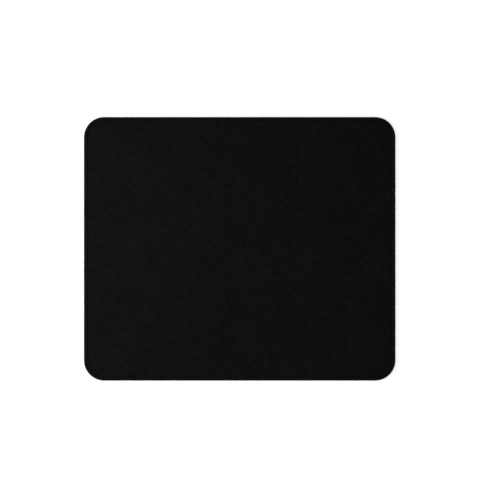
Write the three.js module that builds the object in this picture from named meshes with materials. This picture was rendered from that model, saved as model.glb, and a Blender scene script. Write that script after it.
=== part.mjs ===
// Mouse pad: knitted cloth laminated to foamed rubber, its edge overlocked with three threads.
// Millimetres, +Z up, +X right, +Y towards the far edge. The origin is the middle of the underside.

import * as THREE from 'three';

// Outline seen from above, over the edge threads
const padWidth = 260;
const padDepth = 220;
const cornerRadius = 17;
const cornerSteps = 12;

// Sheets of the laminate, from the desk up
const rubberThickness = 2.3;
const filmThickness = 0.1;
const clothThickness = 0.6;

// Overlocked edge: the needle line's distance from the outline, and the threads pressed flat
const seamWidth = 3.4;
const looperThickness = 0.4;
const needleThreadDiameter = 0.35;
const needleThreadSides = 8;

// Gap between pieces that lie side by side
const threadClearance = 0.05;

// How the stitches press the sheets: what is left of the cloth under the threads, how wide the
// sheets take to swell back to full thickness, and how far the threads stay above the desk
const rimClothThickness = 0.3;
const grooveClothThickness = 0.15;
const clothShoulderWidth = 1.4;
const rubberHeelWidth = 0.8;
const threadRise = 0.1;

// Rounding of the laminate's edge, which the tight threads squeeze, the upright stretch that is
// always left between its two rounds, and the steps of each quarter round
const edgeRounding = 0.8;
const leastUprightEdge = 0.2;
const roundingSteps = 6;

// Heights of the faces
const filmBottom = rubberThickness;
const clothBottom = filmBottom + filmThickness;
const clothTop = clothBottom + clothThickness;
const rimTop = clothBottom + rimClothThickness;
const grooveFloor = clothBottom + grooveClothThickness;
const seamTop = rimTop + looperThickness;
const rimBottom = threadRise + looperThickness;
const threadMeeting = (threadRise + seamTop) / 2;
const rimRounding = Math.min(edgeRounding, (rimTop - rimBottom - leastUprightEdge) / 2);

// Places across the edge, each measured inwards from the outline
const sheetEdge = looperThickness + threadClearance;
const grooveOuterSide = seamWidth - needleThreadDiameter / 2 - threadClearance;
const grooveInnerSide = seamWidth + needleThreadDiameter / 2 + threadClearance;
const lowerSeamEnd = seamWidth + needleThreadDiameter / 2;

// A point of a cross-section through the edge
function at(inset, height) {
  return { inset, height };
}

// A quarter of an ellipse in the cross-section, from one quarter point to the next
function quarterRound(centre, insetRadius, heightRadius, startQuarter) {
  const points = [];
  for (let step = 0; step <= roundingSteps; step += 1) {
    const angle = (startQuarter + step / roundingSteps) * Math.PI / 2;
    points.push(at(
      centre.inset - insetRadius * Math.cos(angle),
      centre.height + heightRadius * Math.sin(angle),
    ));
  }
  return points;
}

// The laminate's rounded edge, from its lower rim to its upper rim
const sheetEdgeProfile = [
  ...quarterRound(at(sheetEdge + rimRounding, rimBottom + rimRounding), rimRounding, rimRounding, -1),
  ...quarterRound(at(sheetEdge + rimRounding, rimTop - rimRounding), rimRounding, rimRounding, 0),
];

// How far in from the outline the laminate's edge lies at a height
function sheetEdgeInset(height) {
  const above = sheetEdgeProfile.findIndex((point) => point.height >= height);
  if (above <= 0) {
    return sheetEdgeProfile[0].inset;
  }
  const high = sheetEdgeProfile[above];
  const low = sheetEdgeProfile[above - 1];
  const share = (height - low.height) / (high.height - low.height);
  return THREE.MathUtils.lerp(low.inset, high.inset, share);
}

// The stretch of the laminate's edge between two heights, from the bottom up
function sheetEdgeBetween(bottom, top) {
  const between = sheetEdgeProfile.filter((point) => point.height > bottom && point.height < top);
  const low = bottom > rimBottom ? at(sheetEdgeInset(bottom), bottom) : sheetEdgeProfile[0];
  const high = top < rimTop ? at(sheetEdgeInset(top), top) : sheetEdgeProfile.at(-1);
  return [low, ...between, high];
}

// The same stretch as the threads see it, clear of the laminate by their gap
function threadSideBetween(bottom, top) {
  return sheetEdgeBetween(bottom, top).map((point) => at(point.inset - threadClearance, point.height));
}

// The pad's outline drawn in by an inset: a rectangle with round corners
function outline(inset) {
  const right = padWidth / 2 - cornerRadius;
  const far = padDepth / 2 - cornerRadius;
  const radius = cornerRadius - inset;
  const shape = new THREE.Shape();
  shape.absarc(right, far, radius, 0, Math.PI / 2);
  shape.absarc(-right, far, radius, Math.PI / 2, Math.PI);
  shape.absarc(-right, -far, radius, Math.PI, 3 * Math.PI / 2);
  shape.absarc(right, -far, radius, 3 * Math.PI / 2, 2 * Math.PI);
  shape.closePath();
  return shape.getPoints(cornerSteps).slice(0, -1);
}

// Carries a cross-section round the outline. A closed section makes a ring of thread. An open one
// makes a sheet: it runs from the flat underside out, up and in again to the flat top.
function carryRoundOutline(section, isRing) {
  const rings = section.map((point) => outline(point.inset));
  const ringLength = rings[0].length;
  const positions = [];
  rings.forEach((ring, index) => {
    ring.forEach((corner) => positions.push(corner.x, corner.y, section[index].height));
  });
  const indices = [];
  const lastRing = isRing ? rings.length : rings.length - 1;
  for (let ring = 0; ring < lastRing; ring += 1) {
    const start = ring * ringLength;
    const nextStart = ((ring + 1) % rings.length) * ringLength;
    for (let corner = 0; corner < ringLength; corner += 1) {
      const next = (corner + 1) % ringLength;
      indices.push(start + corner, start + next, nextStart + next);
      indices.push(start + corner, nextStart + next, nextStart + corner);
    }
  }
  if (!isRing) {
    const topStart = (rings.length - 1) * ringLength;
    THREE.ShapeUtils.triangulateShape(rings[0], []).forEach(([a, b, c]) => indices.push(a, c, b));
    THREE.ShapeUtils.triangulateShape(rings.at(-1), []).forEach((triangle) => {
      indices.push(...triangle.map((corner) => topStart + corner));
    });
  }
  const geometry = new THREE.BufferGeometry();
  geometry.setAttribute('position', new THREE.Float32BufferAttribute(positions, 3));
  geometry.setIndex(indices);
  geometry.computeVertexNormals();
  return geometry;
}

function namedPiece(name, geometry, material) {
  const piece = new THREE.Mesh(geometry, material);
  piece.name = name;
  return piece;
}

// Foamed rubber sheet: flat on the desk, pressed thinner under the edge threads
function rubberBase() {
  const section = [
    at(lowerSeamEnd + threadClearance + rubberHeelWidth, 0),
    at(lowerSeamEnd + threadClearance, rimBottom),
    ...sheetEdgeBetween(rimBottom, rubberThickness),
  ];
  const material = new THREE.MeshStandardMaterial({ color: 0x161616, roughness: 0.85, metalness: 0 });
  return namedPiece('rubber_base', carryRoundOutline(section, false), material);
}

// Hot-melt film that holds the cloth to the rubber
function adhesiveFilm() {
  const section = sheetEdgeBetween(filmBottom, clothBottom);
  const material = new THREE.MeshStandardMaterial({ color: 0x2a2a28, roughness: 0.5, metalness: 0 });
  return namedPiece('adhesive_film', carryRoundOutline(section, false), material);
}

// Knitted cloth: pressed flat under the threads, drawn into a groove along the needle line, and
// swelling from there to its full thickness
function clothTopSheet() {
  const grooveSlope = rimTop - grooveFloor;
  const shoulderCentre = at(grooveInnerSide + clothShoulderWidth, grooveFloor);
  const section = [
    ...sheetEdgeBetween(clothBottom, rimTop),
    at(grooveOuterSide - grooveSlope, rimTop),
    at(grooveOuterSide, grooveFloor),
    ...quarterRound(shoulderCentre, clothShoulderWidth, clothTop - grooveFloor, 0),
  ];
  const material = new THREE.MeshStandardMaterial({ color: 0x111111, roughness: 0.92, metalness: 0 });
  return namedPiece('cloth_top', carryRoundOutline(section, false), material);
}

// Needle thread: the straight run of stitches in the groove
function needleThread() {
  const centreHeight = grooveFloor + needleThreadDiameter / 2;
  const cornerDistance = needleThreadDiameter / 2 / Math.cos(Math.PI / needleThreadSides);
  const section = [];
  for (let side = 0; side < needleThreadSides; side += 1) {
    const angle = (side + 1 / 2) * 2 * Math.PI / needleThreadSides;
    section.push(at(
      seamWidth - cornerDistance * Math.cos(angle),
      centreHeight + cornerDistance * Math.sin(angle),
    ));
  }
  const material = new THREE.MeshStandardMaterial({ color: 0x0e0e0e, roughness: 0.8, metalness: 0 });
  return namedPiece('needle_thread', carryRoundOutline(section, true), material);
}

// Upper looper thread: from the needle line over the rim to half way down the edge
function upperLooperThread() {
  const roundCentre = at(looperThickness + rimRounding, rimTop - rimRounding);
  const outerRounding = rimRounding + looperThickness;
  const tipBevel = looperThickness / 2;
  const section = [
    at(0, threadMeeting),
    ...quarterRound(roundCentre, outerRounding, outerRounding, 0),
    at(grooveOuterSide - tipBevel, seamTop),
    at(grooveOuterSide, seamTop - tipBevel),
    at(grooveOuterSide, rimTop),
    ...threadSideBetween(threadMeeting, rimTop).reverse(),
  ];
  const material = new THREE.MeshStandardMaterial({ color: 0x121212, roughness: 0.85, metalness: 0 });
  return namedPiece('upper_looper_thread', carryRoundOutline(section, true), material);
}

// Lower looper thread: from half way down the edge round to the needle line on the underside
function lowerLooperThread() {
  const roundCentre = at(looperThickness + rimRounding, rimBottom + rimRounding);
  const outerRounding = rimRounding + looperThickness;
  const section = [
    at(lowerSeamEnd, threadRise),
    ...quarterRound(roundCentre, outerRounding, outerRounding, -1),
    at(0, threadMeeting),
    ...threadSideBetween(rimBottom, threadMeeting).reverse(),
    at(lowerSeamEnd, rimBottom),
  ];
  const material = new THREE.MeshStandardMaterial({ color: 0x131313, roughness: 0.85, metalness: 0 });
  return namedPiece('lower_looper_thread', carryRoundOutline(section, true), material);
}

const mousePad = new THREE.Group();
mousePad.add(
  rubberBase(),
  adhesiveFilm(),
  clothTopSheet(),
  needleThread(),
  upperLooperThread(),
  lowerLooperThread(),
);

export default mousePad;
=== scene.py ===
# Mouse pad with an overlocked edge: its cloth, rubber, film and sewing threads, built round the
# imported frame. Metres, +Z up, +X right, +Y towards the far edge.

import math

import bpy
import numpy as np
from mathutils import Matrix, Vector
from mathutils.geometry import delaunay_2d_cdt


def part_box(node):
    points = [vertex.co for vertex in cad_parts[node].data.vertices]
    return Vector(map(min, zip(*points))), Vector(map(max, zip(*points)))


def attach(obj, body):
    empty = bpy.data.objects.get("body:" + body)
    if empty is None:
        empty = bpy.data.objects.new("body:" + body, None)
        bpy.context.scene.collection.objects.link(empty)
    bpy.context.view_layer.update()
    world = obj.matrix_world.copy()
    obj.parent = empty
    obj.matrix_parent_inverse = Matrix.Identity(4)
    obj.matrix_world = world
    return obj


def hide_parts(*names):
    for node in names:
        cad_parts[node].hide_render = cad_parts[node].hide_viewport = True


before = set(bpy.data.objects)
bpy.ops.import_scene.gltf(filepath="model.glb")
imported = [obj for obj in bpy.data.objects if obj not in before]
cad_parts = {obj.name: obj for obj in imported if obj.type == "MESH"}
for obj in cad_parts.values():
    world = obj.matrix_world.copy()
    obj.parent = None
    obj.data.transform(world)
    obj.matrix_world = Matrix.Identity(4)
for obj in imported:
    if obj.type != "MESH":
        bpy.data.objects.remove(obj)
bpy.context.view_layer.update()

MM = 0.001

# Sizes that the frame holds
upper_low, upper_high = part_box("upper_looper_thread")
lower_low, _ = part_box("lower_looper_thread")
needle_low, needle_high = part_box("needle_thread")
_, rubber_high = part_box("rubber_base")
film_low, film_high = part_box("adhesive_film")
cloth_low, cloth_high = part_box("cloth_top")

HALF_WIDTH = upper_high.x
HALF_DEPTH = upper_high.y
SEAM_TOP = upper_high.z
SEAM_BOTTOM = lower_low.z
SEAM_MEETING = upper_low.z
RUBBER_TOP = rubber_high.z
CLOTH_BOTTOM = cloth_low.z
CLOTH_TOP = cloth_high.z
SHEET_INSET = HALF_WIDTH - rubber_high.x
GROOVE_FLOOR = needle_low.z
NEEDLE_DIAMETER = needle_high.z - needle_low.z
NEEDLE_INSET = HALF_WIDTH - needle_high.x + NEEDLE_DIAMETER / 2

# How far a point of the frame may lie from a face and still count as on it, and how close two
# flat points may lie before they count as one
ON_FACE = MM / 100
SAME_POINT = MM / 1000


def straight_reach_y():
    """How far the straight right-hand edge runs up before its corner begins."""
    points = [v.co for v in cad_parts["upper_looper_thread"].data.vertices]
    return max(p.y for p in points if p.x > HALF_WIDTH - ON_FACE)


CORNER_RADIUS = HALF_DEPTH - straight_reach_y()
STRAIGHT_X = HALF_WIDTH - CORNER_RADIUS
STRAIGHT_Y = HALF_DEPTH - CORNER_RADIUS

# The laminate's section at the seam, as in the frame
LOOPER_THICKNESS = 0.4 * MM
EDGE_ROUNDING = 0.8 * MM
EDGE_STEPS = 6
THREAD_CLEARANCE = 0.05 * MM
RIM_TOP = SEAM_TOP - LOOPER_THICKNESS
RIM_BOTTOM = SEAM_BOTTOM + LOOPER_THICKNESS
GROOVE_HALF_WIDTH = NEEDLE_DIAMETER / 2 + THREAD_CLEARANCE
GROOVE_OUTER = NEEDLE_INSET - GROOVE_HALF_WIDTH
GROOVE_INNER = NEEDLE_INSET + GROOVE_HALF_WIDTH
GROOVE_SLOPE = RIM_TOP - GROOVE_FLOOR
CLOTH_SHOULDER = 1.4 * MM
RUBBER_HEEL = 0.8 * MM

# Where the cloth begins to swell, a little inside the groove, and a ring of points that the
# sheets have about half way across the rim
CREASE_INSET = GROOVE_INNER + 0.08 * MM
RIM_MIDDLE = 2.2 * MM

# The name that the export looks for in a piece's own map for its baked colours
BAKE_MAP = "OFBake"

RANDOM = np.random.default_rng(seed=41)


# Places along the edge

ARC_LENGTH = (CORNER_RADIUS - NEEDLE_INSET) * math.pi / 2
# Each stretch: its length, the start of a straight or the centre of a corner, the direction of the
# outward normal at its start in quarter turns, and whether it is a corner
STRETCHES = [
    (2 * STRAIGHT_Y, (STRAIGHT_X, -STRAIGHT_Y), 0, False),
    (ARC_LENGTH, (STRAIGHT_X, STRAIGHT_Y), 0, True),
    (2 * STRAIGHT_X, (STRAIGHT_X, STRAIGHT_Y), 1, False),
    (ARC_LENGTH, (-STRAIGHT_X, STRAIGHT_Y), 1, True),
    (2 * STRAIGHT_Y, (-STRAIGHT_X, STRAIGHT_Y), 2, False),
    (ARC_LENGTH, (-STRAIGHT_X, -STRAIGHT_Y), 2, True),
    (2 * STRAIGHT_X, (-STRAIGHT_X, -STRAIGHT_Y), 3, False),
    (ARC_LENGTH, (STRAIGHT_X, -STRAIGHT_Y), 3, True),
]
SEAM_LENGTH = sum(stretch[0] for stretch in STRETCHES)

# Stitches of the overlock seam, a whole number of them, and the needle's first hole
STITCH_PITCH = 1.4 * MM
STITCH_COUNT = round(SEAM_LENGTH / STITCH_PITCH)
STITCH = SEAM_LENGTH / STITCH_COUNT
HOLE = STITCH / 2


def edge_frame(run):
    """For distances run along the needle line: the corner's centre, or its like on a straight, and
    the outward direction, each an array of x, y."""
    run = np.mod(np.asarray(run, float), SEAM_LENGTH)
    centre = np.zeros(run.shape + (2,))
    turn = np.zeros(run.shape)
    start = 0.0
    for length, anchor, quarter, is_arc in STRETCHES:
        here = (run >= start) & (run <= start + length)
        share = (run - start) / length
        quarter_turn = quarter * math.pi / 2
        if is_arc:
            turn = np.where(here, quarter_turn + share * math.pi / 2, turn)
            centre[here] = anchor
        else:
            turn = np.where(here, quarter_turn, turn)
            forward = np.array([-math.sin(quarter_turn), math.cos(quarter_turn)])
            centre[here] = (np.array(anchor) + (share * length)[..., None] * forward)[here]
        start += length
    return centre, np.stack([np.cos(turn), np.sin(turn)], axis=-1)


def edge_points(run, inset, height):
    """Points at distances run along the needle line, inset from the outline, at heights."""
    centre, outward = edge_frame(run)
    reach = CORNER_RADIUS - np.asarray(inset, float)
    flat = centre + outward * np.broadcast_to(reach, np.shape(run))[..., None]
    heights = np.broadcast_to(height, np.shape(run))
    return np.concatenate([flat, heights[..., None]], axis=-1)


def ring_runs(spacing):
    """Distances along the needle line, about that far apart, with one at each end of a stretch."""
    runs = []
    start = 0.0
    for length, _, _, _ in STRETCHES:
        count = max(2, round(length / spacing))
        runs.extend(start + length * step / count for step in range(count))
        start += length
    return np.array(runs)


def inset_of(points):
    """How far points lie in from the outline."""
    past = np.abs(points[:, :2]) - np.array([STRAIGHT_X, STRAIGHT_Y])
    corner = CORNER_RADIUS - np.linalg.norm(np.maximum(past, 0), axis=1)
    side = CORNER_RADIUS - past.max(axis=1)
    return np.where((past > 0).all(axis=1), corner, side)


def soft_noise(points, wavelength, waves=28, spread=(0.7, 1.5)):
    """Smooth random unevenness with a standard deviation of about one: waves in all directions,
    whose lengths lie within a spread of shares of the wavelength."""
    angle = RANDOM.uniform(0, 2 * math.pi, waves)
    stretch = RANDOM.uniform(*spread, waves)
    phase = RANDOM.uniform(0, 2 * math.pi, waves)
    wave = 2 * math.pi / (wavelength * stretch)
    direction = np.stack([np.cos(angle), np.sin(angle)]) * wave
    return np.sin(points[:, :2] @ direction + phase).sum(axis=1) * math.sqrt(2 / waves)


def smooth_step(value, low, high):
    """A share from 0 to 1 that eases in at low and out at high."""
    share = np.clip((value - low) / (high - low), 0, 1)
    return share * share * (3 - 2 * share)


# Meshes

def new_piece(name, vertices, faces, smooth=True):
    """A mesh object of that name in the scene."""
    mesh = bpy.data.meshes.new(name)
    mesh.from_pydata([tuple(v) for v in vertices], [], [tuple(f) for f in faces])
    mesh.validate()
    if smooth:
        mesh.shade_smooth()
    piece = bpy.data.objects.new(name, mesh)
    bpy.context.scene.collection.objects.link(piece)
    return piece


def write_map(piece, name, u, v):
    """A map of the piece, from the u and v of each corner of its faces."""
    layer = piece.data.uv_layers.new(name=name)
    layer.data.foreach_set("uv", np.stack([u, v], axis=-1).astype(np.float32).ravel())


def triangulated(flat_points, outlines):
    """Triangles over flat points inside the first outline, and for each the outlines it lies in."""
    vertices, _, triangles, _, _, owners = delaunay_2d_cdt(
        [Vector(p) for p in flat_points], [], outlines, 1, SAME_POINT, True
    )
    if len(vertices) != len(flat_points):
        raise ValueError("the flat points of a sheet cross or coincide")
    return triangles, owners


def ring_walls(ring_count, ring_length, first=0):
    """Quads between rings of points that follow each other, facing out where the rings climb."""
    faces = []
    for ring in range(ring_count - 1):
        for i in range(ring_length):
            j = (i + 1) % ring_length
            a = first + ring * ring_length
            b = a + ring_length
            faces.append((a + i, a + j, b + j, b + i))
    return faces


def closing_wall(last, first, ring_length):
    """Quads from the ring of points that starts at last to the one that starts at first."""
    faces = []
    for i in range(ring_length):
        j = (i + 1) % ring_length
        faces.append((last + i, last + j, first + j, first + i))
    return faces


def quarter_round(centre, radius, start_quarter, steps):
    """(inset, height) points on a quarter circle of the section, as in the frame."""
    points = []
    for step in range(steps + 1):
        angle = (start_quarter + step / steps) * math.pi / 2
        points.append((centre[0] - radius * math.cos(angle), centre[1] + radius * math.sin(angle)))
    return points


def sheet_edge():
    """(inset, height) points of the laminate's rounded edge, from its lower to its upper rim."""
    inset = SHEET_INSET + EDGE_ROUNDING
    lower = quarter_round((inset, RIM_BOTTOM + EDGE_ROUNDING), EDGE_ROUNDING, -1, EDGE_STEPS)
    upper = quarter_round((inset, RIM_TOP - EDGE_ROUNDING), EDGE_ROUNDING, 0, EDGE_STEPS)
    return lower + upper


SHEET_EDGE = sheet_edge()
UPPER_RIM = SHEET_EDGE[-1][0]


def sheet_edge_between(bottom, top):
    """(inset, height) points up the laminate's rounded edge between two heights."""
    insets, heights = zip(*SHEET_EDGE)

    def at_height(height):
        return float(np.interp(height, heights, insets)), height

    middle = [point for point in SHEET_EDGE if bottom < point[1] < top]
    low = at_height(bottom) if bottom > RIM_BOTTOM else SHEET_EDGE[0]
    high = at_height(top) if top < RIM_TOP else SHEET_EDGE[-1]
    return [low, *middle, high]


def grid_points(pitch, from_inset):
    """Flat points of a square grid, inside the outline drawn in by an inset."""
    across = np.arange(-HALF_WIDTH, HALF_WIDTH, pitch)
    along = np.arange(-HALF_DEPTH, HALF_DEPTH, pitch)
    points = np.stack(np.meshgrid(across, along), axis=-1).reshape(-1, 2)
    return points[inset_of(points) > from_inset]


# Cloth

# Points of the cloth's face: how far apart they lie along the rings by the needle line and along
# the other rings, where the rings on the shoulder lie as shares of its width, how many rings lead
# on from it and how far apart, and the pitch of the grid inside them and its distance from them
CLOTH_SEAM_SPACING = 0.35 * MM
CLOTH_SPACING = 0.7 * MM
SHOULDER_SHARES = (0.03, 0.1, 0.25, 0.55, 1.0)
LEADING_RINGS = 3
LEADING_STEP = 0.75 * MM
CLOTH_GRID = 1.15 * MM
CLOTH_GRID_GAP = 0.6 * MM

# Wavelength and height of the waves of cloth glued to foam, the depth of the pucker at each of the
# needle's holes, and how far from the crease it reaches
CLOTH_WAVES = ((60 * MM, 0.05 * MM), (14 * MM, 0.02 * MM), (5 * MM, 0.009 * MM))
STITCH_PUCKER = 0.05 * MM
PUCKER_REACH = 0.6 * MM

# The knit's columns and rows, and the piece of cloth after which its map repeats
KNIT_WALE = 0.5 * MM
KNIT_COURSE = 0.38 * MM
REPEAT_WIDTH = 106 * KNIT_WALE
REPEAT_DEPTH = 115 * KNIT_COURSE

# Room between the parts of the cloth's map, wider than the triangles that lie across a repeat, and
# half the width of the patch that the hidden face takes on it
MAP_GUTTER = 1.7 * MM
MAP_PATCH = 0.35 * MM

# Painted shade of the groove: a band along the crease, and the cloth's edge under the threads,
# darkened to a share of the cloth's tone
CREASE_SHADE_LAYER = "crease_shade"
CREASE_SHADE_HALF_WIDTH = 0.25 * MM
CREASE_SHADE_TONE = 0.2


def cloth_rings():
    """(inset, distances along the needle line) of the rings of points that follow the seam on the
    cloth's face, from its rim inwards."""
    seam = [RIM_MIDDLE, GROOVE_OUTER - GROOVE_SLOPE, GROOVE_OUTER, NEEDLE_INSET, CREASE_INSET]
    seam += [CREASE_INSET + CLOTH_SHOULDER * share for share in SHOULDER_SHARES]
    leading = [seam[-1] + (ring + 1) * LEADING_STEP for ring in range(LEADING_RINGS)]
    return (
        [(UPPER_RIM, ring_runs(CLOTH_SPACING))]
        + [(inset, ring_runs(CLOTH_SEAM_SPACING)) for inset in seam]
        + [(inset, ring_runs(CLOTH_SPACING)) for inset in leading]
    )


def cloth_section(inset):
    """Height of the cloth's face at distances in from the outline."""
    rim = np.interp(inset, [GROOVE_OUTER - GROOVE_SLOPE, GROOVE_OUTER], [RIM_TOP, GROOVE_FLOOR])
    rise = np.clip((inset - CREASE_INSET) / CLOTH_SHOULDER, 0, 1)
    swell = (1 - (1 - rise) ** 3) ** (1 / 3)
    shoulder = GROOVE_FLOOR + (CLOTH_TOP - GROOVE_FLOOR) * swell
    return np.where(inset < CREASE_INSET, rim, shoulder)


def cloth_heights(points, inset, runs):
    """Heights of the cloth's face: its section, its puckers at the needle's holes, its waves."""
    height = cloth_section(inset)
    near_crease = np.exp(-((inset - CREASE_INSET) / PUCKER_REACH) ** 2)
    pucker = (1 + np.cos(2 * math.pi * (runs - HOLE) / STITCH)) / 2
    height -= STITCH_PUCKER * pucker * near_crease
    free = smooth_step(inset, CREASE_INSET, CREASE_INSET + 2 * CLOTH_SHOULDER)
    for wavelength, depth in CLOTH_WAVES:
        height += free * depth * soft_noise(points, wavelength)
    return height


def cloth_piece():
    """The knitted cloth: squeezed thin under the threads, puckered at the needle line and swelling
    to its full thickness inside it, with the faint unevenness of cloth glued to foam, and painted
    shade along the crease and on its edge."""
    rings = cloth_rings()
    border_runs = rings[0][1]
    border = len(border_runs)
    flat = [edge_points(runs, inset, 0.0)[:, :2] for inset, runs in rings]
    flat.append(grid_points(CLOTH_GRID, rings[-1][0] + CLOTH_GRID_GAP))
    points = np.concatenate(flat)
    runs = np.concatenate([runs for _, runs in rings] + [np.zeros(len(flat[-1]))])
    inset = inset_of(points)
    top = np.column_stack([points, cloth_heights(points, inset, runs)])

    # The edge's last point is the rim, which the face has already
    edge = sheet_edge_between(CLOTH_BOTTOM, RIM_TOP)[:-1]
    wall = [edge_points(border_runs, wall_inset, level) for wall_inset, level in edge]
    vertices = np.concatenate([top] + wall)
    triangles, _ = triangulated(points, [list(range(border))])
    faces = one_repeat_last(triangles, points)
    faces += ring_walls(len(wall), border, len(top))
    faces += closing_wall(len(vertices) - border, 0, border)
    faces.append(tuple(len(top) + i for i in reversed(range(border))))
    piece = new_piece("cloth_face", vertices, faces)

    # Painted shade: a band along the crease, and all of the cloth's edge, which shows in the gaps
    # between the threads
    crease_shade = np.exp(-((inset - CREASE_INSET) / CREASE_SHADE_HALF_WIDTH) ** 2)
    layer = piece.data.attributes.new(CREASE_SHADE_LAYER, "FLOAT", "POINT")
    layer.data.foreach_set("value", np.concatenate([crease_shade, np.ones(len(wall) * border)]))
    wall_depths = np.repeat([level - RIM_TOP for _, level in edge], border)
    write_cloth_map(
        piece,
        vertices,
        np.concatenate([runs, np.tile(border_runs, len(wall))]),
        np.concatenate([inset - UPPER_RIM, wall_depths]),
    )
    return piece


def one_repeat_last(triangles, points):
    """Puts the triangles of one repeat of the knit last, as the export's map keeps the last ones
    where repeats share a place."""
    middles = points[np.array(triangles)].mean(axis=1)
    kept = (np.floor(middles / [REPEAT_WIDTH, REPEAT_DEPTH]) == 0).all(axis=1)
    return [tuple(triangles[k]) for k in np.argsort(kept, kind="stable")]


def write_cloth_map(piece, points, runs, depths):
    """The map that the export bakes through. The open cloth shares one repeat of its pattern, at
    which the knit is sharp, the band along the seam another strip, and the hidden face a patch.
    Depths are measured inwards from the upper rim of the sheet's edge, and down it below zero."""
    mesh = piece.data
    counts = np.zeros(len(mesh.polygons), int)
    corners = np.zeros(len(mesh.loops), int)
    mesh.polygons.foreach_get("loop_total", counts)
    mesh.loops.foreach_get("vertex_index", corners)
    face = np.repeat(np.arange(len(counts)), counts)
    starts = np.concatenate([[0], np.cumsum(counts)[:-1]])

    def middle(values):
        return (np.add.reduceat(values, starts) / counts)[face]

    x, y, run, depth = points[corners, 0], points[corners, 1], runs[corners], depths[corners]
    # A face across the seam's start has all its corners on one side of it
    run = run + SEAM_LENGTH * np.round((run[starts][face] - run) / SEAM_LENGTH)
    open_depth = CREASE_INSET + CREASE_SHADE_HALF_WIDTH - UPPER_RIM
    is_open = np.minimum.reduceat(depth, starts)[face] >= open_depth
    # Only the hidden face has more than four corners
    is_hidden = counts[face] > 4
    u = np.where(is_open, x, run) / REPEAT_WIDTH
    u -= np.floor(middle(u))
    turn = np.floor(middle(y) / REPEAT_DEPTH)
    open_v = MAP_GUTTER + y - turn * REPEAT_DEPTH
    v = np.where(is_open, open_v, REPEAT_DEPTH + 3 * MAP_GUTTER + depth) / REPEAT_WIDTH
    # The patch lies by the map's upper left corner, clear of its edges
    patch = MAP_PATCH / REPEAT_WIDTH
    u = np.where(is_hidden, (2 + x / HALF_WIDTH) * patch, u)
    v = np.where(is_hidden, 1 - (1.5 - y / HALF_WIDTH) * patch, v)
    write_map(piece, BAKE_MAP, u, v)


# Rubber

RUBBER_SPACING = 1.0 * MM

# The heel where the underside steps down beside the seam: shares of its width and of its height
HEEL_SHARES = ((0.3, 0.7), (1.0, 1.0))

# Diamond studs: distance between rows, half diagonals at foot and crest, height, and the plain
# border inside the heel
STUD_PITCH = 2.4 * MM
STUD_BASE = 1.28 * MM
STUD_TOP = 0.98 * MM
STUD_HEIGHT = 0.22 * MM
STUD_BORDER = 0.15 * MM
STUD_CORNERS = np.array([(1, 0), (0, 1), (-1, 0), (0, -1)], float)


def stud_places(from_inset):
    """Centres of the diamond studs, in rows at forty-five degrees, inside an inset."""
    half = STUD_PITCH / math.sqrt(2)
    reach = int((HALF_WIDTH + HALF_DEPTH) / STUD_PITCH) + 2
    i, j = np.meshgrid(np.arange(-reach, reach + 1), np.arange(-reach, reach + 1))
    places = np.stack([(i - j) * half, (i + j) * half], axis=-1).reshape(-1, 2)
    inside = (np.abs(places) < [HALF_WIDTH, HALF_DEPTH]).all(axis=1)
    places = places[inside]
    return places[inset_of(places) > from_inset + STUD_BASE]


def rubber_section():
    """(inset, height) points of the rubber's side, from its top face down to its underside."""
    step = RIM_BOTTOM - STUD_HEIGHT
    return (
        sheet_edge_between(RIM_BOTTOM, RUBBER_TOP)[::-1]
        + [(inset, RIM_BOTTOM) for inset in (RIM_MIDDLE, GROOVE_INNER)]
        + [(GROOVE_INNER + RUBBER_HEEL * w, RIM_BOTTOM - step * h) for w, h in HEEL_SHARES]
    )


def rubber_piece():
    """The foamed rubber: a flat top, an edge under the threads, and an embossed underside whose
    diamond studs stand on the desk."""
    section = rubber_section()
    runs = ring_runs(RUBBER_SPACING)
    border = len(runs)
    rings = [edge_points(runs, inset, height) for inset, height in section]
    places = stud_places(section[-1][0] + STUD_BORDER)
    bases = (places[:, None] + STUD_CORNERS * STUD_BASE).reshape(-1, 2)
    tops = (places[:, None] + STUD_CORNERS * STUD_TOP).reshape(-1, 2)
    vertices = np.concatenate(rings + [
        np.column_stack([bases, np.full(len(bases), STUD_HEIGHT)]),
        np.column_stack([tops, np.zeros(len(tops))]),
    ])
    inner_ring = (len(rings) - 1) * border
    base_start = len(rings) * border
    top_start = base_start + len(bases)

    faces = [face[::-1] for face in ring_walls(len(rings), border)]
    faces.append(tuple(range(border)))
    flat = np.concatenate([rings[-1][:, :2], bases])
    outlines = [list(range(border))]
    outlines += [[border + 4 * stud + k for k in range(4)] for stud in range(len(places))]
    triangles, owners = triangulated(flat, outlines)
    valley = [t for t, owner in zip(triangles, owners) if owner == [0]]
    faces += [tuple(inner_ring + v for v in reversed(t)) for t in valley]
    for stud in range(len(places)):
        base = [base_start + 4 * stud + k for k in range(4)]
        top = [top_start + 4 * stud + k for k in range(4)]
        faces += [(base[k], top[k], top[(k + 1) % 4], base[(k + 1) % 4]) for k in range(4)]
        faces.append(tuple(reversed(top)))
    return new_piece("rubber_sheet", vertices, faces, smooth=False)


# Hot-melt film

FILM_SPACING = 2.5 * MM
FILM_GRID = 4 * MM
FILM_GRID_INSET = 3 * MM


def film_piece():
    """The thin film between the cloth and the rubber."""
    runs = ring_runs(FILM_SPACING)
    border = len(runs)
    edge = sheet_edge_between(film_low.z, film_high.z)
    walls = [edge_points(runs, inset, height) for inset, height in edge]
    inner = grid_points(FILM_GRID, FILM_GRID_INSET)
    vertices = np.concatenate(walls + [
        np.column_stack([inner, np.full(len(inner), film_high.z)]),
        np.column_stack([inner, np.full(len(inner), film_low.z)]),
    ])
    triangles, _ = triangulated(
        np.concatenate([walls[-1][:, :2], inner]),
        [list(range(border))],
    )
    last = (len(walls) - 1) * border
    lower_inner = len(walls) * border + len(inner)
    faces = ring_walls(len(walls), border)
    for t in triangles:
        faces.append(tuple(last + v for v in t))
        faces.append(tuple(v if v < border else lower_inner + v - border for v in reversed(t)))
    return new_piece("hot_melt_film", vertices, faces)


# Threads

THREAD_SIDES = 6
THREAD_MAP = "thread_map"

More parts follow.
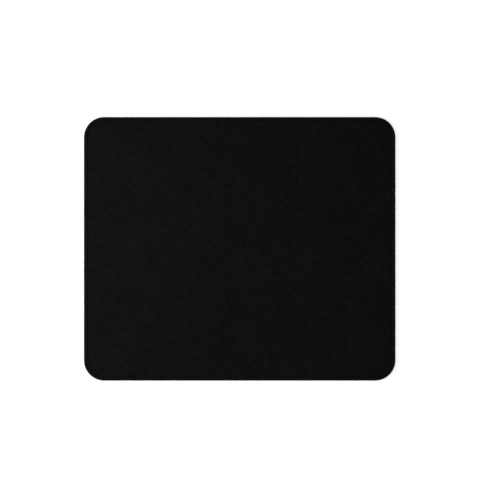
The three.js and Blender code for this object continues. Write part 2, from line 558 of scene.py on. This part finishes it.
# A looper thread's section on its leg, at its tip in the groove, and in its hook on the edge
LOOPER_HALF_WIDTH = 0.26 * MM
EDGE_HALF_WIDTH = 0.335 * MM
LOOPER_HALF_THICKNESS = LOOPER_THICKNESS / 2
TIP_HALF_WIDTH = 0.19 * MM
TIP_HALF_THICKNESS = 0.09 * MM
HOOK_HALF_WIDTH = 0.2 * MM
HOOK_HALF_THICKNESS = 0.14 * MM

# Half the gap between the two legs of a stitch at its tip and on the edge, and how far the tip and
# the hook reach past the legs
TIP_HALF_SPAN = 0.26 * MM
EDGE_HALF_SPAN = STITCH / 4
TIP_REACH = 0.2 * MM
HOOK_REACH = 0.36 * MM

# Over what length a leg rises out of the groove, at what share of it the leg is half way up, over
# what length it narrows to its hook, how far the hooks pass over each other, and how far a leg
# leans along the seam
TIP_RISE = 0.3 * MM
RISE_MIDDLE = 0.4
HOOK_RISE = 0.5 * MM
HOOK_LIFT = 0.13 * MM
STITCH_LEAN = 0.3 * MM

# Steps round the rim, and the points on the half circle of a tip or hook as shares of half a turn
ROUND_STEPS = 3
HALF_TURN_SHARES = (0.25, 0.5, 0.75)

# The needle thread's section, and the height of its middle where it passes over the loopers' tips
NEEDLE_HALF_WIDTH = 0.14 * MM
NEEDLE_HALF_THICKNESS = 0.12 * MM
NEEDLE_TOP = GROOVE_FLOOR + 2 * TIP_HALF_THICKNESS + NEEDLE_HALF_THICKNESS

# The needle thread's way through one stitch: up out of a hole, over to the next one, down through
# it, round the lower looper's tip and back up. Each place is so many stitches on, then millimetres
# on and inwards, and millimetres above a level.
NEEDLE_WAY = [
    (0, 0.09, 0.0, GROOVE_FLOOR, 0.0),
    (0, 0.16, 0.0, NEEDLE_TOP, -0.06),
    (0, 0.34, 0.0, NEEDLE_TOP, 0.0),
    (0.5, 0.0, 0.0, NEEDLE_TOP, -0.03),
    (1, -0.34, 0.0, NEEDLE_TOP, 0.0),
    (1, -0.16, 0.0, NEEDLE_TOP, -0.06),
    (1, -0.09, 0.0, GROOVE_FLOOR, 0.0),
    (1, -0.09, 0.0, RIM_BOTTOM, 0.1),
    (1, -0.06, 0.06, RIM_BOTTOM, -0.12),
    (1, -0.04, 0.2, RIM_BOTTOM, -0.27),
    (1, 0.0, 0.36, RIM_BOTTOM, -0.28),
    (1, 0.02, 0.47, RIM_BOTTOM, -0.16),
    (1, 0.05, 0.38, RIM_BOTTOM, 0.0),
    (1, 0.09, 0.1, RIM_BOTTOM, 0.12),
]

# How much stitches differ: along the seam, across it and in height, and at most so many times that
STITCH_SPREAD = np.array([0.03, 0.035, 0.012]) * MM
SPREAD_LIMIT = 2

# Stitches side by side and rows of them on the map that the export bakes through
MAP_STITCHES = 2
MAP_ROWS = 12


def unit(vectors):
    """The vectors at length one."""
    return vectors / np.linalg.norm(vectors, axis=-1, keepdims=True)


def stitch_spread(points_per_stitch):
    """Small random departures that pass smoothly from each stitch to the next."""
    here = RANDOM.normal(0, 1, (STITCH_COUNT, 1, 3))
    ahead = np.roll(here, -1, axis=0)
    share = np.linspace(0, 1, points_per_stitch, endpoint=False)[None, :, None]
    spread = np.clip(here * (1 - share) + ahead * share, -SPREAD_LIMIT, SPREAD_LIMIT)
    return spread.reshape(-1, 3) * STITCH_SPREAD


def repeated(stitch):
    """The rows of one stitch, repeated round the seam, with their runs counted on."""
    rows = np.tile(stitch, (STITCH_COUNT, 1))
    rows[:, 0] += np.repeat(np.arange(STITCH_COUNT) * STITCH, len(stitch))
    return rows


def thread_tube(name, points, lifts, half_thickness, half_width):
    """A closed thread along points. Its section is an oval with a flat crest, whose thickness lies
    along lifts."""
    tangent = unit(np.roll(points, -1, axis=0) - np.roll(points, 1, axis=0))
    lift = unit(lifts - tangent * (lifts * tangent).sum(axis=1, keepdims=True))
    across = np.cross(tangent, lift)
    angles = (np.arange(THREAD_SIDES) + 0.5) * 2 * math.pi / THREAD_SIDES
    corner_thickness = half_thickness / math.cos(math.pi / THREAD_SIDES)
    rings = (
        points[:, None]
        + lift[:, None] * np.cos(angles)[:, None] * corner_thickness[:, None, None]
        + across[:, None] * np.sin(angles)[:, None] * half_width[:, None, None]
    )
    count = len(points)
    faces = ring_walls(count, THREAD_SIDES)
    faces += closing_wall((count - 1) * THREAD_SIDES, 0, THREAD_SIDES)
    piece = new_piece(name, rings.reshape(-1, 3), faces)
    steps = np.linalg.norm(np.roll(points, -1, axis=0) - points, axis=1)
    write_thread_map(piece, np.concatenate([[0], np.cumsum(steps)]))
    write_stitch_map(piece, steps[: count // STITCH_COUNT])
    return piece


def write_thread_map(piece, along):
    """A map with the distance along the thread and the turn round it, for the filaments."""
    ring, side = np.divmod(np.arange((len(along) - 1) * THREAD_SIDES), THREAD_SIDES)
    u = np.stack([along[ring], along[ring], along[ring + 1], along[ring + 1]], axis=1)
    v = np.stack([side, side + 1, side + 1, side], axis=1) / THREAD_SIDES
    write_map(piece, THREAD_MAP, u, v)


def write_stitch_map(piece, steps):
    """The map that the export bakes through, from the lengths of the steps along one stitch. All
    stitches share a few places on it, so that its pixels show their filaments."""
    share = np.concatenate([[0], np.cumsum(steps)]) / steps.sum()
    ring, side = np.divmod(np.arange(STITCH_COUNT * len(steps) * THREAD_SIDES), THREAD_SIDES)
    stitch, step = np.divmod(ring, len(steps))
    column = stitch % MAP_STITCHES
    row = stitch // MAP_STITCHES % MAP_ROWS
    start = (column + share[step]) / MAP_STITCHES
    end = (column + share[step + 1]) / MAP_STITCHES
    low = (row + side / THREAD_SIDES) / MAP_ROWS
    high = (row + (side + 1) / THREAD_SIDES) / MAP_ROWS
    u = np.stack([start, start, end, end], axis=1)
    v = np.stack([low, high, high, low], axis=1)
    write_map(piece, BAKE_MAP, u, v)


def looper_leg():
    """(inset, height, outward lift, upward lift) along the middle of an upper looper thread's
    leg, from the tip in the groove over the rim and down to the middle of the edge."""
    rim_height = RIM_TOP + LOOPER_HALF_THICKNESS
    tip_height = GROOVE_FLOOR + TIP_HALF_THICKNESS
    radius = EDGE_ROUNDING + LOOPER_HALF_THICKNESS
    centre_inset = LOOPER_THICKNESS + EDGE_ROUNDING
    centre_height = RIM_TOP - EDGE_ROUNDING
    leg = [
        (NEEDLE_INSET, tip_height, 0.0, 1.0),
        (NEEDLE_INSET - TIP_RISE * RISE_MIDDLE, (tip_height + rim_height) / 2, 0.0, 1.0),
        (NEEDLE_INSET - TIP_RISE, rim_height, 0.0, 1.0),
    ]
    for step in range(ROUND_STEPS + 1):
        angle = step / ROUND_STEPS * math.pi / 2
        leg.append((
            centre_inset - radius * math.sin(angle),
            centre_height + radius * math.cos(angle),
            math.sin(angle),
            math.cos(angle),
        ))
    leg.append((centre_inset - radius, (SEAM_MEETING + centre_height) / 2, 1.0, 0.0))
    leg.append((centre_inset - radius, SEAM_MEETING, 1.0, 0.0))
    return np.array(leg)


def looper_tip(leg_end):
    """The half circle round the tip of a looper stitch, as rows of looper_stitch."""
    section = (0.0, 1.0, TIP_HALF_THICKNESS, TIP_HALF_WIDTH)
    rows = []
    for share in HALF_TURN_SHARES:
        along = HOLE - TIP_HALF_SPAN * math.cos(share * math.pi)
        inset = leg_end[0] + TIP_REACH * math.sin(share * math.pi)
        rows.append((along, inset, leg_end[1], *section))
    return rows


def looper_hook(leg_end, middle):
    """The half circle that hooks a looper stitch on to the next one, on the edge."""
    section = (1.0, 0.0, HOOK_HALF_THICKNESS, HOOK_HALF_WIDTH)
    rows = []
    for share in HALF_TURN_SHARES:
        along = middle - EDGE_HALF_SPAN * math.cos(share * math.pi)
        height = SEAM_MEETING - HOOK_REACH * math.sin(share * math.pi)
        rows.append((along, leg_end[0], height, *section))
    return rows


def looper_stitch(edge_shift):
    """One stitch of a looper thread, as the upper one lies, in rows of run, inset, height, outward
    lift, upward lift, half thickness and half width: in along a leg, round its tip, out along the
    other leg and through the hook on the edge."""
    leg = looper_leg()
    distance = np.linalg.norm(np.diff(leg[:, :2], axis=0), axis=1).cumsum()
    share = np.concatenate([[0], distance / distance[-1]])
    half_span = TIP_HALF_SPAN + (EDGE_HALF_SPAN - TIP_HALF_SPAN) * share
    middle = HOLE + (STITCH_LEAN + edge_shift) * share
    sunk = np.clip((leg[:, 0] - (NEEDLE_INSET - TIP_RISE)) / TIP_RISE, 0, 1)
    hooked = 1 - smooth_step(leg[:, 1], SEAM_MEETING, SEAM_MEETING + HOOK_RISE)
    thickness = LOOPER_HALF_THICKNESS + (TIP_HALF_THICKNESS - LOOPER_HALF_THICKNESS) * sunk
    thickness += (HOOK_HALF_THICKNESS - LOOPER_HALF_THICKNESS) * hooked
    width = LOOPER_HALF_WIDTH + (EDGE_HALF_WIDTH - LOOPER_HALF_WIDTH) * share
    width += (TIP_HALF_WIDTH - width) * sunk
    width += (HOOK_HALF_WIDTH - width) * hooked
    rows_in = np.column_stack([middle - half_span, leg, thickness, width])[::-1]
    rows_out = np.column_stack([middle + half_span, leg, thickness, width])
    tip = looper_tip(leg[0])
    hook = looper_hook(leg[-1], middle[-1] + STITCH / 2)
    return np.concatenate([rows_in, tip, rows_out, hook])


def looper_piece(name, is_upper):
    """A looper thread all round the pad. The lower one mirrors the upper one about the middle of
    the edge, a quarter stitch further on, and each passes over and under the other there."""
    edge_shift = 0.0 if is_upper else EDGE_HALF_SPAN
    over = 1 if is_upper else -1
    stitch = looper_stitch(edge_shift)
    rows = repeated(stitch)
    spread = stitch_spread(len(stitch))
    run = rows[:, 0] + spread[:, 0]
    height = rows[:, 2] + spread[:, 2]
    near_meeting = 1 - smooth_step(height, SEAM_MEETING, SEAM_MEETING + 2 * HOOK_REACH)
    upper_hook = HOLE + STITCH / 2 + STITCH_LEAN
    phase = 2 * math.pi * (run - upper_hook) / STITCH
    inset = rows[:, 1] + spread[:, 1] - over * HOOK_LIFT * np.cos(2 * phase) * near_meeting
    if not is_upper:
        height = 2 * SEAM_MEETING - height
    points = edge_points(run, inset, height)
    _, outward = edge_frame(run)
    lifts = np.column_stack([outward * rows[:, 3, None], over * rows[:, 4]])
    return thread_tube(name, points, lifts, rows[:, 5], rows[:, 6])


def carried_lifts(points):
    """Directions square to a closed line, carried along it without twist, and turned evenly so
    that the last meets the first."""
    tangent = unit(np.roll(points, -1, axis=0) - np.roll(points, 1, axis=0))
    lift = np.array([0.0, 0.0, 1.0])
    lifts = []
    for direction in np.concatenate([tangent, tangent[:1]]):
        lift = lift - direction * (lift @ direction)
        lift = lift / math.sqrt(lift @ lift)
        lifts.append(lift)
    first, last = lifts[0], lifts.pop()
    lifts = np.array(lifts)
    gap = math.atan2(tangent[0] @ np.cross(last, first), last @ first)
    turn = gap * np.arange(len(points)) / len(points)
    across = np.cross(tangent, lifts)
    return lifts * np.cos(turn)[:, None] + across * np.sin(turn)[:, None]


def needle_piece():
    """The needle thread: straight stitches in the groove over the upper looper's tips, and at
    each hole a loop down through the sheets and round the lower looper's tip."""
    stitch = np.array([
        (HOLE + stitches * STITCH + on * MM, NEEDLE_INSET + inwards * MM, level + above * MM)
        for stitches, on, inwards, level, above in NEEDLE_WAY
    ])
    rows = repeated(stitch)
    # Only what lies over the groove's floor differs. The rest stays in its holes.
    spread = stitch_spread(len(stitch)) * (rows[:, 2] > GROOVE_FLOOR)[:, None]
    points = edge_points(rows[:, 0], rows[:, 1] + spread[:, 1], rows[:, 2] + spread[:, 2])
    thickness = np.full(len(points), NEEDLE_HALF_THICKNESS)
    width = np.full(len(points), NEEDLE_HALF_WIDTH)
    return thread_tube("needle_stitches", points, carried_lifts(points), thickness, width)


# Materials

# Between which values most of a noise texture lies
NOISE_LOW = 0.3
NOISE_HIGH = 0.7


class Nodes:
    """Builds one material's node tree with short calls."""

    def __init__(self, name):
        self.material = bpy.data.materials.new(name)
        self.material.use_nodes = True
        self.tree = self.material.node_tree
        self.shader = self.tree.nodes["Principled BSDF"]

    def add(self, kind, **settings):
        """A node of that kind, with values of its inputs or settings of its own."""
        node = self.tree.nodes.new(kind)
        for key, value in settings.items():
            if key in node.inputs:
                node.inputs[key].default_value = value
            else:
                setattr(node, key, value)
        return node

    def link(self, output, target):
        """Leads a node's output to another node's input."""
        self.tree.links.new(output, target)

    def fixed(self, socket, value):
        """Gives the shader's own socket a value that is the same all over the surface."""
        self.shader.inputs[socket].default_value = value

    def varied(self, socket, output):
        """Gives the shader's own socket a value that changes over the surface."""
        self.link(output, self.shader.inputs[socket])

    def place(self):
        """The place of a point on the piece, in metres."""
        return self.add("ShaderNodeTexCoord").outputs["Object"]

    def split(self, vector):
        """The x and y of a vector."""
        node = self.add("ShaderNodeSeparateXYZ")
        self.link(vector, node.inputs[0])
        return node.outputs["X"], node.outputs["Y"]

    def noise(self, vector, scale, detail, roughness):
        """Noise whose largest features are about one over its scale across."""
        node = self.add("ShaderNodeTexNoise", Scale=scale, Detail=detail, Roughness=roughness)
        self.link(vector, node.inputs["Vector"])
        return node.outputs["Fac"]

    def math(self, operation, first, second=None):
        """A sum worked out from one or two values, each a number or a node's output."""
        node = self.add("ShaderNodeMath", operation=operation)
        for socket, value in zip(node.inputs, (first, second)):
            if value is None:
                continue
            if isinstance(value, (int, float)):
                socket.default_value = value
            else:
                self.link(value, socket)
        return node.outputs[0]

    def wave(self, turns):
        """A sine wave that swings once in each turn."""
        return self.math("SINE", self.math("MULTIPLY", turns, 2 * math.pi))

    def shares(self, first, first_share, second, second_share):
        """The sum of two values, each times its share."""
        first = self.math("MULTIPLY", first, first_share)
        return self.math("ADD", first, self.math("MULTIPLY", second, second_share))

    def between(self, value, low, high, to_low=0.0, to_high=1.0):
        """A value carried over from one range to another, and held within it."""
        node = self.add("ShaderNodeMapRange")
        self.link(value, node.inputs["Value"])
        node.inputs["From Min"].default_value = low
        node.inputs["From Max"].default_value = high
        node.inputs["To Min"].default_value = to_low
        node.inputs["To Max"].default_value = to_high
        return node.outputs["Result"]

    def spread(self, noise, to_low=0.0, to_high=1.0):
        """Noise spread out over a range."""
        return self.between(noise, NOISE_LOW, NOISE_HIGH, to_low, to_high)

    def grey(self, share, dark, light):
        """A grey between two numbers."""
        node = self.add("ShaderNodeMix", data_type="RGBA")
        self.link(share, node.inputs["Factor"])
        node.inputs["A"].default_value = (dark, dark, dark, 1)
        node.inputs["B"].default_value = (light, light, light, 1)
        return node.outputs["Result"]

    def mixed(self, share, dark, light):
        """A grey between two greys that change over the surface themselves."""
        node = self.add("ShaderNodeMix", data_type="RGBA")
        self.link(share, node.inputs["Factor"])
        self.link(dark, node.inputs["A"])
        self.link(light, node.inputs["B"])
        return node.outputs["Result"]

    def bump(self, height, strength, distance):
        """Gives the surface a fine relief."""
        node = self.add("ShaderNodeBump", Strength=strength, Distance=distance)
        self.link(height, node.inputs["Height"])
        self.varied("Normal", node.outputs["Normal"])


# The cloth's darkest and lightest tone, how many rows a stitch climbs in the width of a column, and
# the heights of its stitches, columns and grain beside each other
CLOTH_DARK = 0.0016
CLOTH_LIGHT = 0.0060
KNIT_SLANT = 1.3
STITCH_RELIEF = 0.5
COLUMN_RELIEF = 0.6
GRAIN_RELIEF = 0.8


def knit_relief(nodes, place, grain):
    """The height of the knit: stitches that slant to both sides of a column, with a grain."""
    x, y = nodes.split(place)
    across = nodes.math("PINGPONG", nodes.math("MULTIPLY", x, 1 / KNIT_WALE), 0.5)
    course = nodes.math("MULTIPLY", y, 1 / KNIT_COURSE)
    slant = nodes.math("ADD", course, nodes.math("MULTIPLY", across, KNIT_SLANT))
    knit = nodes.shares(nodes.wave(slant), STITCH_RELIEF, nodes.wave(across), COLUMN_RELIEF)
    return nodes.math("ADD", knit, nodes.math("MULTIPLY", grain, GRAIN_RELIEF))


def cloth_material():
    """Black knitted polyester: columns of small slanted stitches, a fine grain, a faint mottle."""
    nodes = Nodes("black_knitted_cloth")
    place = nodes.place()
    grain = nodes.noise(place, scale=1400, detail=3, roughness=0.6)
    mottle = nodes.noise(place, scale=300, detail=2, roughness=0.8)
    cloud = nodes.noise(place, scale=26, detail=3, roughness=0.8)
    tone = nodes.shares(mottle, 0.72, cloud, 0.28)
    tone = nodes.between(tone, low=0.31, high=0.69)
    # Painted shade: the cloth darkens to a share of its tone along the crease and on its edge
    crease_shade = nodes.add("ShaderNodeAttribute", attribute_name=CREASE_SHADE_LAYER).outputs["Fac"]
    dark = nodes.between(crease_shade, 0.0, 1.0, CLOTH_DARK, CLOTH_DARK * CREASE_SHADE_TONE)
    light = nodes.between(crease_shade, 0.0, 1.0, CLOTH_LIGHT, CLOTH_LIGHT * CREASE_SHADE_TONE)
    nodes.varied("Base Color", nodes.mixed(tone, dark, light))
    nodes.varied("Roughness", nodes.spread(grain, to_low=0.48, to_high=0.62))
    nodes.bump(knit_relief(nodes, place, grain), strength=0.35, distance=0.05 * MM)
    nodes.fixed("Specular IOR Level", 0.02)
    nodes.fixed("Sheen Weight", 0.2)
    nodes.fixed("Sheen Roughness", 0.38)
    return nodes.material


# The length of thread in which its plies turn once round, the length in which its filaments
# change, its number of plies, and the height of a filament beside a ply's
THREAD_TWIST = 2.2 * MM
FIBRE_LENGTH = 2.6 * MM
THREAD_PLIES = 3
FIBRE_RELIEF = 2.2


def thread_material(name, dark, light):
    """Black textured polyester thread: filaments laid in a slow twist."""
    nodes = Nodes(name)
    along, around = nodes.split(nodes.add("ShaderNodeUVMap", uv_map=THREAD_MAP).outputs["UV"])
    twist = nodes.math("MULTIPLY", along, 1 / THREAD_TWIST)
    turn = nodes.math("MULTIPLY", nodes.math("ADD", twist, around), 2 * math.pi)
    ply_wave = nodes.math("SINE", nodes.math("MULTIPLY", turn, THREAD_PLIES / 2))
    plies = nodes.math("ABSOLUTE", ply_wave)
    round_thread = nodes.add("ShaderNodeCombineXYZ")
    nodes.link(nodes.math("COSINE", turn), round_thread.inputs["X"])
    nodes.link(nodes.math("SINE", turn), round_thread.inputs["Y"])
    nodes.link(nodes.math("MULTIPLY", along, 1 / FIBRE_LENGTH), round_thread.inputs["Z"])
    fibres = nodes.noise(round_thread.outputs["Vector"], scale=3.2, detail=2, roughness=0.6)
    blotches = nodes.noise(nodes.place(), scale=420, detail=2, roughness=0.5)
    tone = nodes.spread(nodes.shares(fibres, 0.6, blotches, 0.4))
    nodes.varied("Base Color", nodes.grey(tone, dark, light))
    nodes.varied("Roughness", nodes.spread(fibres, to_low=0.75, to_high=0.5))
    relief = nodes.math("ADD", plies, nodes.math("MULTIPLY", fibres, FIBRE_RELIEF))
    nodes.bump(relief, strength=0.7, distance=0.04 * MM)
    nodes.fixed("Specular IOR Level", 0.04)
    nodes.fixed("Sheen Weight", 0.06)
    nodes.fixed("Sheen Roughness", 0.3)
    return nodes.material


def rubber_material():
    """Black foamed rubber: matt, with a fine open grain and a faint patchiness."""
    nodes = Nodes("black_foamed_rubber")
    place = nodes.place()
    pores = nodes.noise(place, scale=3200, detail=3, roughness=0.65)
    patches = nodes.noise(place, scale=60, detail=3, roughness=0.55)
    nodes.varied("Base Color", nodes.grey(nodes.spread(patches), dark=0.0075, light=0.011))
    nodes.varied("Roughness", nodes.spread(pores, to_low=0.68, to_high=0.86))
    nodes.bump(pores, strength=0.4, distance=0.05 * MM)
    nodes.fixed("Specular IOR Level", 0.3)
    return nodes.material


def film_material():
    """Dark hot-melt film with the flow marks of lamination."""
    nodes = Nodes("hot_melt_film")
    flow = nodes.noise(nodes.place(), scale=180, detail=3, roughness=0.5)
    nodes.varied("Base Color", nodes.grey(nodes.spread(flow), dark=0.006, light=0.012))
    nodes.varied("Roughness", nodes.spread(flow, to_low=0.35, to_high=0.55))
    nodes.bump(flow, strength=0.3, distance=0.05 * MM)
    nodes.fixed("Specular IOR Level", 0.15)
    return nodes.material


# The floor's tone for the light that it throws back on the pad, its tone where it is seen, and the
# plain white that shows with it there: near the pad and far off, with the distances from the middle
# of the pad between which the one passes into the other
FLOOR_TONE = 0.8
SEEN_TONE = 0.36
NEAR_WHITE = 0.75
FAR_WHITE = 0.87
NEAR_REACH = 0.28
FAR_REACH = 0.8


def floor_material():
    """A plain white table. What the camera sees of it is part diffuse, which keeps the shadow,
    and part plain white, with more of the latter far off, where the lamps don't reach."""
    nodes = Nodes("white_floor")
    path = nodes.add("ShaderNodeLightPath").outputs
    seen = nodes.math("ADD", path["Is Camera Ray"], path["Is Glossy Ray"])
    seen = nodes.math("MINIMUM", nodes.math("ADD", seen, path["Is Transmission Ray"]), 1.0)
    away = nodes.add("ShaderNodeVectorMath", operation="LENGTH")
    nodes.link(nodes.place(), away.inputs[0])
    white = nodes.between(away.outputs["Value"], NEAR_REACH, FAR_REACH, NEAR_WHITE, FAR_WHITE)
    nodes.varied("Base Color", nodes.grey(seen, FLOOR_TONE, SEEN_TONE))
    nodes.varied("Emission Strength", nodes.math("MULTIPLY", seen, white))
    nodes.fixed("Emission Color", (1, 1, 1, 1))
    nodes.fixed("Roughness", 1.0)
    nodes.fixed("Specular IOR Level", 0.0)
    return nodes.material


def finish_piece(piece, material, node):
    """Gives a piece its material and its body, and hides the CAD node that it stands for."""
    piece.data.materials.append(material)
    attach(piece, "root")
    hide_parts(node)


# Camera, light and floor

# The side of the photograph, and where the pad's four sides lie in it
PHOTO_SIDE = 500
PAD_LEFT_PX = 83.90
PAD_RIGHT_PX = 395.50
PAD_TOP_PX = 117.05
PAD_BOTTOM_PX = 380.60

# The camera's focal length and the width of its sensor, in millimetres
LENS = 85.0
SENSOR = 36.0

# Square lamps that face the middle of the pad: name, place, side and power
LAMPS = [
    ("key_left", (-0.40, 0.03, 0.42), 0.42, 2.5),
    ("front", (0.1, -0.9, 1.0), 0.8, 2.4),
]

# How strongly the world lights the pad, and how bright the camera sees it
WORLD_LIGHT = 0.40
WORLD_SEEN = 1.0

FLOOR_RADIUS = 2.5
FLOOR_RINGS = 12
FLOOR_SIDES = 96


def make_camera():
    """Looks straight down, so far off that the pad spans what it spans in the photograph."""
    per_pixel = 2 * HALF_WIDTH / (PAD_RIGHT_PX - PAD_LEFT_PX)
    distance = per_pixel * PHOTO_SIDE * LENS / SENSOR
    data = bpy.data.cameras.new("camera")
    data.lens = LENS
    data.sensor_width = SENSOR
    camera = bpy.data.objects.new("camera", data)
    camera.location = (
        (PHOTO_SIDE - PAD_LEFT_PX - PAD_RIGHT_PX) / 2 * per_pixel,
        (PAD_TOP_PX + PAD_BOTTOM_PX - PHOTO_SIDE) / 2 * per_pixel,
        SEAM_MEETING + distance,
    )
    bpy.context.scene.collection.objects.link(camera)
    bpy.context.scene.camera = camera


def make_lamp(name, place, side, power):
    """A square lamp, unseen by the camera, that faces the middle of the pad."""
    data = bpy.data.lights.new(name, "AREA")
    data.shape = "SQUARE"
    data.size = side
    data.energy = power
    lamp = bpy.data.objects.new(name, data)
    lamp.location = place
    lamp.rotation_euler = (-Vector(place)).to_track_quat("-Z", "Y").to_euler()
    lamp.visible_camera = False
    bpy.context.scene.collection.objects.link(lamp)


def make_world():
    """An even white world, which the camera sees brighter than it lights the pad."""
    world = bpy.data.worlds.new("studio")
    bpy.context.scene.world = world
    world.use_nodes = True
    tree = world.node_tree
    background = tree.nodes["Background"]
    background.inputs["Color"].default_value = (1, 1, 1, 1)
    path = tree.nodes.new("ShaderNodeLightPath")
    strength = tree.nodes.new("ShaderNodeMix")
    strength.data_type = "FLOAT"
    strength.inputs["A"].default_value = WORLD_LIGHT
    strength.inputs["B"].default_value = WORLD_SEEN
    tree.links.new(path.outputs["Is Camera Ray"], strength.inputs["Factor"])
    tree.links.new(strength.outputs["Result"], background.inputs["Strength"])


def make_floor():
    """A round floor under the pad, of rings of faces round its middle."""
    vertices = [(0.0, 0.0, 0.0)]
    for ring in range(1, FLOOR_RINGS + 1):
        reach = FLOOR_RADIUS * ring / FLOOR_RINGS
        for side in range(FLOOR_SIDES):
            angle = 2 * math.pi * side / FLOOR_SIDES
            vertices.append((reach * math.cos(angle), reach * math.sin(angle), 0.0))
    faces = [(0, 1 + side, 1 + (side + 1) % FLOOR_SIDES) for side in range(FLOOR_SIDES)]
    faces += [face[::-1] for face in ring_walls(FLOOR_RINGS, FLOOR_SIDES, 1)]
    floor = new_piece("floor", vertices, faces)
    floor.data.materials.append(floor_material())


make_camera()
for lamp_settings in LAMPS:
    make_lamp(*lamp_settings)
make_world()
make_floor()

cloth = cloth_piece()
rubber = rubber_piece()
film = film_piece()
upper_looper = looper_piece("upper_looper_stitches", True)
lower_looper = looper_piece("lower_looper_stitches", False)
needle = needle_piece()

# The needle thread's tones are a little darker than the looper thread's: painted shade of the
# groove that it lies in
looper_finish = thread_material("black_looper_thread", dark=0.0028, light=0.0062)
shaded_needle_finish = thread_material("black_needle_thread", dark=0.0026, light=0.0056)
finish_piece(cloth, cloth_material(), "cloth_top")
finish_piece(rubber, rubber_material(), "rubber_base")
finish_piece(film, film_material(), "adhesive_film")
finish_piece(upper_looper, looper_finish, "upper_looper_thread")
finish_piece(lower_looper, looper_finish, "lower_looper_thread")
finish_piece(needle, shaded_needle_finish, "needle_thread")

bpy.context.scene.view_settings.view_transform = "Standard"
